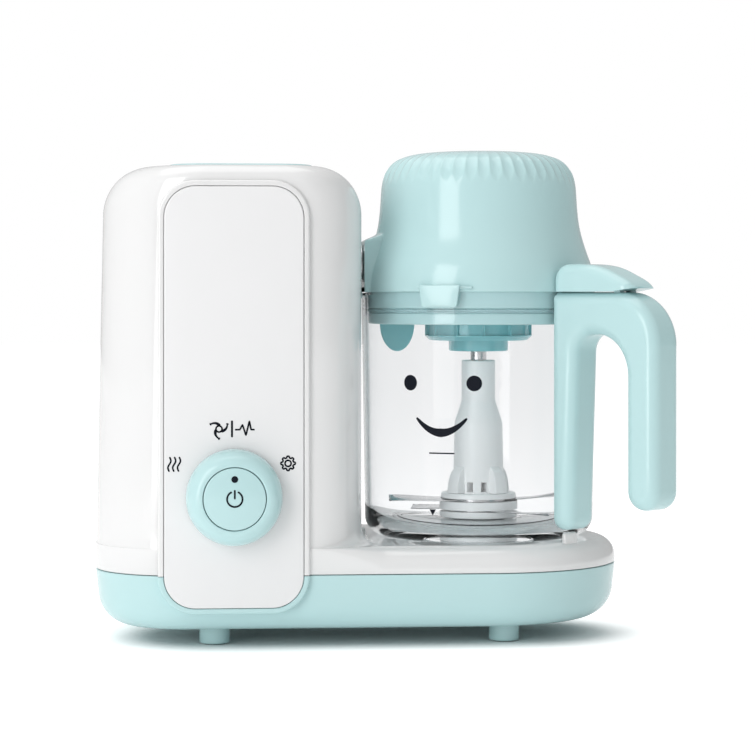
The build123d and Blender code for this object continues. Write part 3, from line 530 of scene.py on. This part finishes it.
def box_reach(left, right, low, high, left_corner, right_corner, angles):
    """Distance from the tower's middle line out to a rounded box, at each angle."""
    outline = []
    for cx, cy, radius, start in (
        (right - right_corner, high - right_corner, right_corner, 0),
        (left + left_corner, high - left_corner, left_corner, 90),
        (left + left_corner, low + left_corner, left_corner, 180),
        (right - right_corner, low + right_corner, right_corner, 270),
    ):
        for k in range(49):
            angle = math.radians(start + 90 * k / 48)
            outline.append((cx + radius * math.cos(angle), cy + radius * math.sin(angle)))
    outline = np.array(outline)
    dense = []
    for a, b in zip(outline, np.roll(outline, -1, 0)):
        dense += [a + (b - a) * k / 24 for k in range(24)]
    dense = np.array(dense) - (TOWER_MIDDLE, 0)
    turn = np.arctan2(dense[:, 1], dense[:, 0])
    order = np.argsort(turn)
    return np.interp(angles, turn[order], np.hypot(*dense.T)[order], period=2 * math.pi)


def tower_reach(z, angles):
    """Distance from the tower's middle line out to its wall at a height."""
    lean = 3.8 * min(max((z - SEAM_Z) / (SPRING_Z - SEAM_Z), 0), 1)
    rise = min(max((z - SPRING_Z) / TOP_ROUND, 0), 1)
    side = TOP_ROUND * (1 - math.sqrt(1 - rise**2))
    over = max(0, z - (TOWER_TOP - FRONT_ROUND))
    front = FRONT_ROUND - math.sqrt(max(0, FRONT_ROUND**2 - over**2))
    half = HALF_DEPTH - front
    return box_reach(BASE_LEFT + lean + side, TOWER_RIGHT - side, -half, half,
                     LEFT_CORNER - 0.6 * side, RIGHT_CORNER - 0.6 * side, angles)


def build_housing():
    """Deck and tower as one moulding: rounded deck rim, hollow curve up to the tower, soft crown."""
    plan = base_outline(0)
    offset = plan - (TOWER_MIDDLE, 0)
    angles = np.arctan2(offset[:, 1], offset[:, 0])
    ray = np.stack([np.cos(angles), np.sin(angles)], 1)
    middle = np.array([TOWER_MIDDLE, 0])
    gap = np.maximum(np.hypot(*offset.T) - tower_reach(DECK_Z, angles), 0)
    rim = np.minimum(DECK_ROUND, 0.5 * gap)[:, None]
    curve = np.minimum(9.0, 0.35 * gap)
    ahead = np.roll(plan, -1, 0) - np.roll(plan, 1, 0)
    ahead /= np.hypot(*ahead.T)[:, None]
    inward = np.stack([-ahead[:, 1], ahead[:, 0]], 1)

    def level_ring(flat, heights):
        heights = np.broadcast_to(heights, len(flat))
        return np.column_stack([flat, heights])

    rings = [
        level_ring(plan + inward * 3.0, SEAM_Z + SEAM_GAP),
        level_ring(plan + inward * 0.4, SEAM_Z + SEAM_GAP),
        level_ring(plan, SEAM_Z + SEAM_GAP + 0.4),
    ]
    for k in range(13):
        a = math.pi / 2 * k / 12
        flat = plan + inward * rim * (1 - math.cos(a))
        rings.append(level_ring(flat, DECK_Z - rim[:, 0] * (1 - math.sin(a))))
    deck_edge = rings[-1][:, :2]
    wall_foot = middle + ray * (tower_reach(DECK_Z, angles) + curve)[:, None]
    rings += [level_ring(deck_edge + (wall_foot - deck_edge) * k / 8, DECK_Z) for k in range(1, 9)]
    for k in range(1, 11):
        a = math.pi / 2 * k / 10
        heights = DECK_Z + curve * (1 - math.cos(a))
        reach = tower_reach(DECK_Z + 4, angles) + curve * (1 - math.sin(a))
        rings.append(level_ring(middle + ray * reach[:, None], heights))
    heights = [66, 80, 100, 125, 150, 175, 200, 218]
    heights += [SPRING_Z + TOP_ROUND * math.sin(math.pi / 2 * k / 26) for k in range(27)]
    rings += [level_ring(middle + ray * tower_reach(z, angles)[:, None], z) for z in heights]
    crown = rings[-1][:, :2]
    mouth = box_reach(-168.5, -97.5, -20.5, 52.5, 16.5, 16.5, angles)
    mouth_ring = middle + ray * mouth[:, None]
    rings += [level_ring(crown + (mouth_ring - crown) * k / 4, TOWER_TOP) for k in range(1, 5)]
    rings.append(level_ring(mouth_ring, TOWER_TOP - 6))
    rings.append(level_ring(middle + ray * (mouth[:, None] + 1.5), TOWER_TOP - 6))
    return skin("housing", rings, sharp=math.radians(50))


def panel_path(grow, upper):
    """Outline round the panel, grown by an amount: the part above the seam, or the part below it."""
    half, low, high = PANEL_WIDTH / 2 + grow, PANEL_LOW - grow, PANEL_HIGH + grow
    corner = PANEL_CORNER + grow
    if upper:
        corners = [(half, SEAM_Z + SEAM_GAP), (half, high), (-half, high), (-half, SEAM_Z + SEAM_GAP)]
    else:
        corners = [(-half, SEAM_Z - SEAM_GAP), (-half, low), (half, low), (half, SEAM_Z - SEAM_GAP)]
    return rounded(corners, [corner, corner], 5)


def build_rim(name, upper, depth):
    """Raised lip round the front panel."""
    section = rounded([(3.3, depth), (3.3, -78.5), (0.3, -78.5), (0.3, -75.8)], [1.3, 0.5], 20)
    rings = [[(PANEL_X + u, y, v) for u, v in panel_path(grow, upper)] for grow, y in section]
    return skin(name, rings, closed=False)


HINGE_X, HINGE_Y, HINGE_Z = -133, 61.8, 259.4
EAR_OFFSET, EAR_HALF_WIDTH = 30.0, 3.0
TAB_ANGLES, TAB_RADIUS = (-50, 70, 190), 67.6


def facing_right(x, y, z):
    """Places a flat shape upright, its thickness along X."""
    def place(u, v, w):
        return (x + w, y + u, z + v)
    return place


def facing_outwards(angle, radius):
    """Places a flat shape upright at an angle round the jar's axis, its thickness outwards."""
    def place(u, v, w):
        out = radius + w
        return (out * math.cos(angle) - u * math.sin(angle), out * math.sin(angle) + u * math.cos(angle), v)
    return place


def facing_front(x, y, z):
    """Places a flat shape upright, its thickness towards the front."""
    def place(u, v, w):
        return (x + u, y - w, z + v)
    return place


def build_ears(name):
    """Ears that carry the tank lid's hinge, on the tower's top."""
    ears = []
    for side in (-1, 1):
        loop = [(3.2 * math.cos(a), 3.2 * math.sin(a)) for a in np.linspace(0, math.pi, 17)]
        loop += [(-3.2, -3.0), (3.2, -3.0)]
        middle = HINGE_X + side * EAR_OFFSET
        ears.append(pillow(name, loop, EAR_HALF_WIDTH, 0.5, facing_right(middle, HINGE_Y, HINGE_Z), 3))
    return join(name, *ears)


def build_tabs(name):
    """Tabs on the deck that guide the jar home."""
    tabs = []
    for angle in TAB_ANGLES:
        loop = rounded_rectangle(10, 7, 1.6, 5, (0, 56.0))
        tabs.append(pillow(name, loop, 1.2, 0.6, facing_outwards(math.radians(angle), TAB_RADIUS), 4))
    return join(name, *tabs)


housing = join(
    "housing", build_housing(), build_rim("rim", True, -74), build_ears("ears"), build_tabs("tabs")
)
dress(housing, "body_white", "upper_housing")

section = rounded([(3, SEAM_Z - SEAM_GAP), (0, SEAM_Z - SEAM_GAP), (3.2, 9.7), (34, 9.7)], [0.5, 18], 6)
bowl_rings = []
for inset, z in section:
    outline = base_outline(inset)
    bowl_rings.append(np.column_stack([outline, np.full(len(outline), z)]))
bowl = skin("bowl", bowl_rings, last_cap=True)
dress(join("bowl", bowl, build_rim("bowl_rim", False, -62)), "shell_teal", "base_shell")

panel_outline = rounded_rectangle(PANEL_WIDTH, PANEL_HIGH - PANEL_LOW, PANEL_CORNER, 16)
panel_place = facing_front(PANEL_X, -77.7, (PANEL_HIGH + PANEL_LOW) / 2)
panel = pillow("panel", panel_outline, 1.4, 0.7, panel_place)
dress(panel, "panel_white", "front_panel")

# ---------------------------------------------------------------------------
# Dial and power button
# ---------------------------------------------------------------------------
DIAL_Z, DIAL_RADIUS, DIAL_BACK, DIAL_FRONT, CAP_RADIUS = 81.8, 25.3, -79.9, -96.0, 16.2
crown = [(17.4 + 7.9 * math.sin(a), -84.2 - 11.8 * math.cos(a)) for a in np.linspace(0, math.pi / 2, 22)]
dial = lathe_front(
    "dial",
    [(3.2, DIAL_BACK), (DIAL_RADIUS - 0.6, DIAL_BACK), (DIAL_RADIUS, DIAL_BACK - 0.6)] + crown[::-1]
    + [(17.0, DIAL_FRONT), (16.75, DIAL_FRONT + 0.1), (16.6, DIAL_FRONT + 0.4), (16.6, -85.0), (3.2, -85.0)],
    PANEL_X, DIAL_Z,
)
dress(dial, "shell_teal", "dial_ring")
cap = lathe_front(
    "dial_cap",
    [(0, -96.3), (15.6, -96.25), (16.05, -96.1), (CAP_RADIUS, -95.7), (CAP_RADIUS, -91.2), (0, -91.2)],
    PANEL_X, DIAL_Z,
)
dress(cap, "shell_teal", "power_button")

# ---------------------------------------------------------------------------
# Motor head
# ---------------------------------------------------------------------------
FLUTES = 48
DOME = [(65.2, 189.6), (65.05, 192.5), (64.75, 196), (64.0, 200.5), (62.7, 205), (60.9, 210), (59.2, 215),
        (57.7, 220), (56.5, 225), (55.7, 230), (55.1, 236), (54.7, 242), (54.3, 247.5), (53.5, 252),
        (52.0, 256.3), (49.5, 260), (46.0, 262.8), (41.5, 264.7), (36, 266.0), (29, 266.8), (20, 267.25),
        (10, 267.45), (0.01, 267.5)]


def soft_step(value, low, high):
    """Smooth rise from 0 to 1 between low and high."""
    share = min(max((value - low) / (high - low), 0), 1)
    return share * share * (3 - 2 * share)


def flute(angle, radius, z):
    """Depth of the shallow flutes over the dome's shoulder; they run out to points below."""
    rise = 1.1 * soft_step(z, 247.5, 258.5) * soft_step(radius, 20, 42)
    across = (angle * FLUTES / (2 * math.pi)) % 1
    return max(0.0, rise - 0.9 * (2 * across - 1) ** 2)


def dome_shape(angle, radius, z):
    """Flutes, less the flat lug that faces the tower."""
    turn = math.atan2(math.sin(angle - math.pi), math.cos(angle - math.pi))
    reach = 65.3 / math.cos(turn)
    beside = 1 - soft_step(abs(turn) * 65.3, 18.5, 20.6)
    above = 1 - soft_step(z, 217.0, 222.0)
    lug = max(0.0, reach - radius) * beside * above
    return flute(angle, radius, z) - lug


dome_line = [tuple(p) for p in smooth_curve(DOME, 5)]
low_lip = [(62.8, 192.0), (62.8, 189.6), (63.0, 189.4), (64.9, 189.4)]
dome = lathe("dome", low_lip + dome_line, FLUTES * 12, dent=dome_shape, sharp=math.radians(60))
dress(dome, "shell_teal", "head_shell")


def round_plate(name, outline, angle, radius, half, edge):
    """Small plate bent round the jar's axis; outline is in (width, height)."""
    a0 = math.radians(angle)

    def place(u, v, w):
        turn = a0 + u / radius
        return ((radius + w) * math.cos(turn), (radius + w) * math.sin(turn), v)

    return pillow(name, outline, half, edge, place, 4)


def dense_loop(corners, radii, step=0.8):
    """Closed outline with rounded corners and points at short steps."""
    path = rounded([corners[-1]] + corners + [corners[0]], radii, 12)[1:-1]
    loop = []
    for a, b in zip(path, path[1:] + path[:1]):
        count = max(1, int(np.linalg.norm(b - a) / step))
        loop += [tuple(a + (b - a) * k / count) for k in range(count)]
    return loop


CATCH_ANGLE = -114.8
catch = round_plate("catch", dense_loop([(-10.2, 180.8), (9.4, 180.8), (11.2, 193.0), (-12.0, 193.0)],
                                        [2.2, 2.2, 0.8, 0.8]), CATCH_ANGLE, 67.0, 1.15, 0.7)
ledge = round_plate("ledge", dense_loop([(-12.8, 191.0), (17.5, 191.0), (17.5, 192.3), (-12.8, 192.3)],
                                        [0.5] * 4), CATCH_ANGLE, 66.3, 0.95, 0.4)
dress(join("catch", catch, ledge), "shell_teal", "head_catch")

# ---------------------------------------------------------------------------
# Jar, its lid and what hangs from it
# ---------------------------------------------------------------------------
JAR_STEPS = 224
outer = rounded([(0.01, 54.9), (49.4, 54.9), (50.2, 54.1), (63.5, 54.1), (65.4, 187.6), (64.9, 189.0)],
                [0.3, 0.3, 11, 0.6], 6)
inner = rounded([(64.9, 189.0), (62.6, 189.0), (60.6, 59.4), (46.6, 59.4), (46.0, 60.2),
                 (44.2, 60.2), (43.6, 59.0), (24.5, 59.0), (24.0, 57.8), (0.01, 57.8)],
                [0.5, 13, 0.4, 0.4, 0.4, 0.4, 0.4, 0.4], 6)
jar = lathe("jar", outer + inner[1:], JAR_STEPS)
dress(jar, "jar_clear", "jar")

lid = lathe("lid_bands", rounded(
    [(57.6, 174.3), (57.6, 191.3), (63.6, 191.3), (63.6, 189.2), (62.1, 189.2), (62.1, 180.6), (61.0, 180.2),
     (61.0, 177.8), (61.6, 177.3), (61.6, 171.6), (7.5, 171.6), (7.5, 174.3), (57.6, 174.3)],
    [0.5, 0.5, 0.5, 0.3, 0.6, 0.2, 0.2, 0.4, 1.0, 0.5, 0.5], 15), 192)
dress(lid, "shell_teal", "jar_lid")
gasket = lathe("gasket", rounded(
    [(60.9, 178.0), (62.3, 178.4), (61.6, 179.0), (62.3, 179.6), (60.9, 180.0), (60.9, 178.0)],
    [0.2, 0.2, 0.2, 0.2], 30), 192)
dress(gasket, "silicone", "lid_gasket")


def hub_ribs(angle, radius, z):
    """Recessed panels between the hub's upright ribs."""
    if radius < 27 or not 165.0 < z < 171.2:
        return 0.0
    across = (math.degrees(angle) / 30) % 1
    return 2.0 * soft_step(min(across, 1 - across), 0.025, 0.045)


hub_line = rounded(
    [(7.5, 156.0), (16.6, 156.0), (16.6, 162.0), (27.5, 162.0), (30.0, 164.4)], [0.7, 0.4, 1.0], 15
)
hub_line += [(30.0, z) for z in (164.9, 165.1, 168.0, 171.1, 171.3, 171.6)] + [(7.5, 171.6), (7.5, 156.0)]
hub = lathe("hub", hub_line, 576, dent=hub_ribs)
dress(hub, "shell_teal", "lid_hub")
# Darker, more saturated copy of the shell teal for the hub and the steam deflector: painted shade for the
# shade they sit in under the lid, inside the jar.
SHADED_TEAL = plastic("shaded_teal", (0.22, 0.55, 0.59), (0.12, 0.18))
hub.data.materials[0] = SHADED_TEAL

tongue = [(9.5 * math.cos(a), 15.6 * math.sin(a)) for a in np.linspace(math.pi, 2 * math.pi, 41)]
deflector = pillow("deflector", tongue, 1.3, 0.6, facing_front(-46, -5.6, 171.7), 4)
dress(deflector, "shell_teal", "steam_deflector")
# Painted shade: the deflector also takes the darker copy of the teal.
deflector.data.materials[0] = SHADED_TEAL

# ---------------------------------------------------------------------------
# Blade post and blades
# ---------------------------------------------------------------------------
FIN_ANGLES = (-55, 35, 125, 215)


def post_shape(angle, radius, z):
    """Four buttress fins round the post's foot, with openings between them."""
    if z >= 91.5 or z < 77.6:
        return 0.0
    degrees = math.degrees(angle)
    off = min(abs((degrees - fin + 180) % 360 - 180) for fin in FIN_ANGLES)
    width = math.radians(off) * 17
    fin = 1 - soft_step(width, 3.6, 4.6)
    reach = 5.9 * math.sin(math.acos(min(1, max(0, (z - 77.6) / 13.9))))
    window = soft_step(width, 6.2, 6.6) * (1 - soft_step(width, 10.2, 10.6))
    hole = 7.4 * window * soft_step(z, 78.2, 78.5) * (1 - soft_step(z, 83.4, 83.7))
    return hole - fin * reach


post_line = rounded([(0.01, 150.8), (9.4, 150.8), (9.4, 128.5), (13.4, 116.0), (13.9, 92.0)], [0.9, 9, 12], 5)
post_line += [(13.9, z) for z in np.linspace(91, 78.6, 40)] + [(13.9, 78.2), (13.9, 77.7)]
post_line += rounded([(13.9, 77.5), (20.6, 77.5), (21.2, 74.6), (6.2, 74.6)], [1.0, 0.3], 15)
post = lathe("post", post_line, 432, dent=post_shape)
dress(post, "inner_white", "blade_post")


def build_blades(name, z, turn, lift, twist):
    """Two thin curved blades on a round plate; they thin out to an edge and bend up or down at the tip."""
    blades = []
    for side in (0, 180):
        rings = []
        for k in range(33):
            t = k / 32
            lead = -9 + t * (1 - t) * -14 + t**2 * 11
            trail = 9 - t * 12 + t**2 * 8
            if k == 32:
                trail = lead + 1.2
            reach = 10 + 42 * t - (0 if k < 32 else 0.4)
            rise = lift * soft_step(t, 0.25, 1.0)
            ring = []
            for u, half in ((0, 0.08), (0.18, 0.65), (0.82, 0.65), (1, 0.2)):
                ring.append((reach, lead + (trail - lead) * u, half + rise + twist * (0.5 - u) * t))
            for u, half in ((1, 0.2), (0.82, 0.65), (0.18, 0.65), (0, 0.08)):
                ring.append((reach, lead + (trail - lead) * u, -half + rise + twist * (0.5 - u) * t))
            a = math.radians(turn + side)
            rings.append([(x * math.cos(a) - y * math.sin(a), x * math.sin(a) + y * math.cos(a), z + 0.8 + h)
                          for x, y, h in ring])
        blades.append(skin(name, rings, first_cap=True, last_cap=True))
    low, high = z + 0.05, z + 1.55
    plate = lathe(name, [(6.1, low), (16, low), (16, high), (6.1, high), (6.1, low)], 64)
    return join(name, plate, *blades)


dress(build_blades("upper_blade", 73.0, 8, 1.6, 3.2), "steel", "upper_blades")
dress(build_blades("lower_blade", 66.8, -52, -1.2, 2.2), "steel", "lower_blades")


# ---------------------------------------------------------------------------
# Printed signs: plain generic marks, drawn as very thin raised shapes
# ---------------------------------------------------------------------------
PANEL_FACE, CAP_FACE = -79.1, -96.3
MARK_THICK, MARK_SUNK = 0.12, -0.03


def on_jar(angle, z):
    """Places a flat mark on the jar's outer wall."""
    def place(u, v, w):
        height = z + v
        radius = 63.5 + 1.9 * (height - 54.1) / 133.5 + w
        turn = math.radians(angle) + u / 64.6
        return (radius * math.cos(turn), radius * math.sin(turn), height)
    return place


def stroke(path, place, width, closed=False):
    """Thin line of even width along a path, with rounded ends."""
    pts = np.array(path, float)
    widths = np.broadcast_to(np.array(width, float), len(pts)).copy()
    if closed:
        ahead = np.roll(pts, -1, 0) - np.roll(pts, 1, 0)
    else:
        ahead = np.gradient(pts, axis=0)
    ahead /= np.maximum(np.hypot(*ahead.T)[:, None], 1e-9)
    if not closed:
        ends = []
        for k in range(1, 6):
            a = math.pi / 2 * k / 5
            ends.append((math.sin(a) * widths[0] / 2, math.cos(a) * widths[0]))
        start = [pts[0] - ahead[0] * out for out, _ in reversed(ends)]
        finish = [pts[-1] + ahead[-1] * out for out, _ in ends]
        pts = np.vstack([start, pts, finish])
        widths = np.concatenate([[w for _, w in reversed(ends)], widths, [w for _, w in ends]])
        ahead = np.vstack([[ahead[0]] * 5, ahead, [ahead[-1]] * 5])
    side = np.stack([-ahead[:, 1], ahead[:, 0]], 1)
    rings = []
    for p, n, w in zip(pts, side, widths):
        half = max(w / 2, 0.01)
        left, right = p + n * half, p - n * half
        rings.append([place(*left, MARK_SUNK), place(*left, MARK_THICK),
                      place(*right, MARK_THICK), place(*right, MARK_SUNK)])
    if closed:
        rings.append(rings[0])
    return skin("mark", rings, first_cap=not closed, last_cap=not closed)


def blot(outline, place):
    """Filled flat mark."""
    rings = [[place(u, v, w) for u, v in outline] for w in (MARK_SUNK, MARK_THICK)]
    return skin("mark", rings, first_cap=True, last_cap=True)


def circle(radius, count=40, start=0, end=360, middle=(0, 0)):
    """Points round a circle, or part of one."""
    full = end - start == 360
    turns = np.radians(np.linspace(start, end, count, endpoint=not full))
    return [(middle[0] + radius * math.cos(a), middle[1] + radius * math.sin(a)) for a in turns]


def even_line(corners, step=0.4):
    """Points at short even steps along straight runs."""
    line = []
    for a, b in zip(corners, corners[1:]):
        a, b = np.array(a, float), np.array(b, float)
        count = max(1, round(np.linalg.norm(b - a) / step))
        line += [a + (b - a) * k / count for k in range(count)]
    return line + [np.array(corners[-1], float)]


waves = facing_front(-169.6, PANEL_FACE, 99.0)
marks = [stroke([(x + 0.1 * v + 0.6 * math.sin(v * 0.95), v) for v in np.linspace(-3.5, 3.5, 25)], waves, 0.9)
         for x in (-2.5, 0, 2.5)]

pinwheel = facing_front(-146.2, PANEL_FACE, 117.4)
marks.append(stroke(circle(1.6, 32), pinwheel, 0.9, closed=True))
for arm in range(3):
    a0 = math.radians(90 + 120 * arm)
    arc = [((2.0 + 2.9 * t) * math.cos(a0 + 1.0 * t), (2.0 + 2.9 * t) * math.sin(a0 + 1.0 * t))
           for t in np.linspace(0, 1, 14)]
    marks.append(stroke(arc, pinwheel, np.linspace(1.7, 0.8, 14)))

marks.append(stroke(even_line([(0, -3.9), (0, 3.9)]), facing_front(-139.4, PANEL_FACE, 117.4), 1.1))
pulse = [(-4.8, -0.6), (-2.6, -0.6), (-1.2, 2.0), (0.6, -3.6), (2.4, 3.8), (3.3, -0.6), (4.8, -0.6)]
marks.append(stroke(even_line(pulse), facing_front(-132.7, PANEL_FACE, 117.6), 0.9))

gear = []
for k in range(96):
    a = 2 * math.pi * k / 96
    radius = 3.35 + 0.42 * math.tanh(3 * math.cos(8 * a))
    gear.append((radius * math.cos(a), radius * math.sin(a)))
cog = facing_front(-110.0, PANEL_FACE, 99.2)
marks += [stroke(gear, cog, 0.9, closed=True), stroke(circle(1.6), cog, 0.9, closed=True)]
dress(join("panel_signs", *marks), "print_dark", body="base")

power = facing_front(PANEL_X, CAP_FACE, DIAL_Z + 0.1)
marks = [stroke(circle(4.0, 44, 118, 422), power, 0.95), stroke(even_line([(0, 0.4), (0, 4.3)]), power, 0.95)]
marks.append(blot(circle(1.75), facing_front(PANEL_X, CAP_FACE, DIAL_Z + 10.3)))
dress(join("cap_signs", *marks), "print_dark", body="power_key")

face = on_jar(-115.0, 0)
smile = [(14.0 * t, 121.2 - 7.4 * (1 - t * t)) for t in np.linspace(-1, 1, 61)]
marks = [stroke(smile, face, [1.3 + 3.4 * (1 - abs(t)) ** 0.8 for t in np.linspace(-1, 1, 61)])]
marks += [blot(circle(4.2, 48, middle=(side * 18.3, 140.4)), face) for side in (-1, 1)]
marks.append(stroke(even_line([(-6.9, 102.8), (6.9, 102.8)]), on_jar(-114.7, 0), 0.75))
marks.append(blot([(0, 69.3), (1.9, 72.6), (-1.9, 72.6)], on_jar(-119.4, 0)))
dress(join("jar_marks", *marks), "print_dark", body="jar_unit")
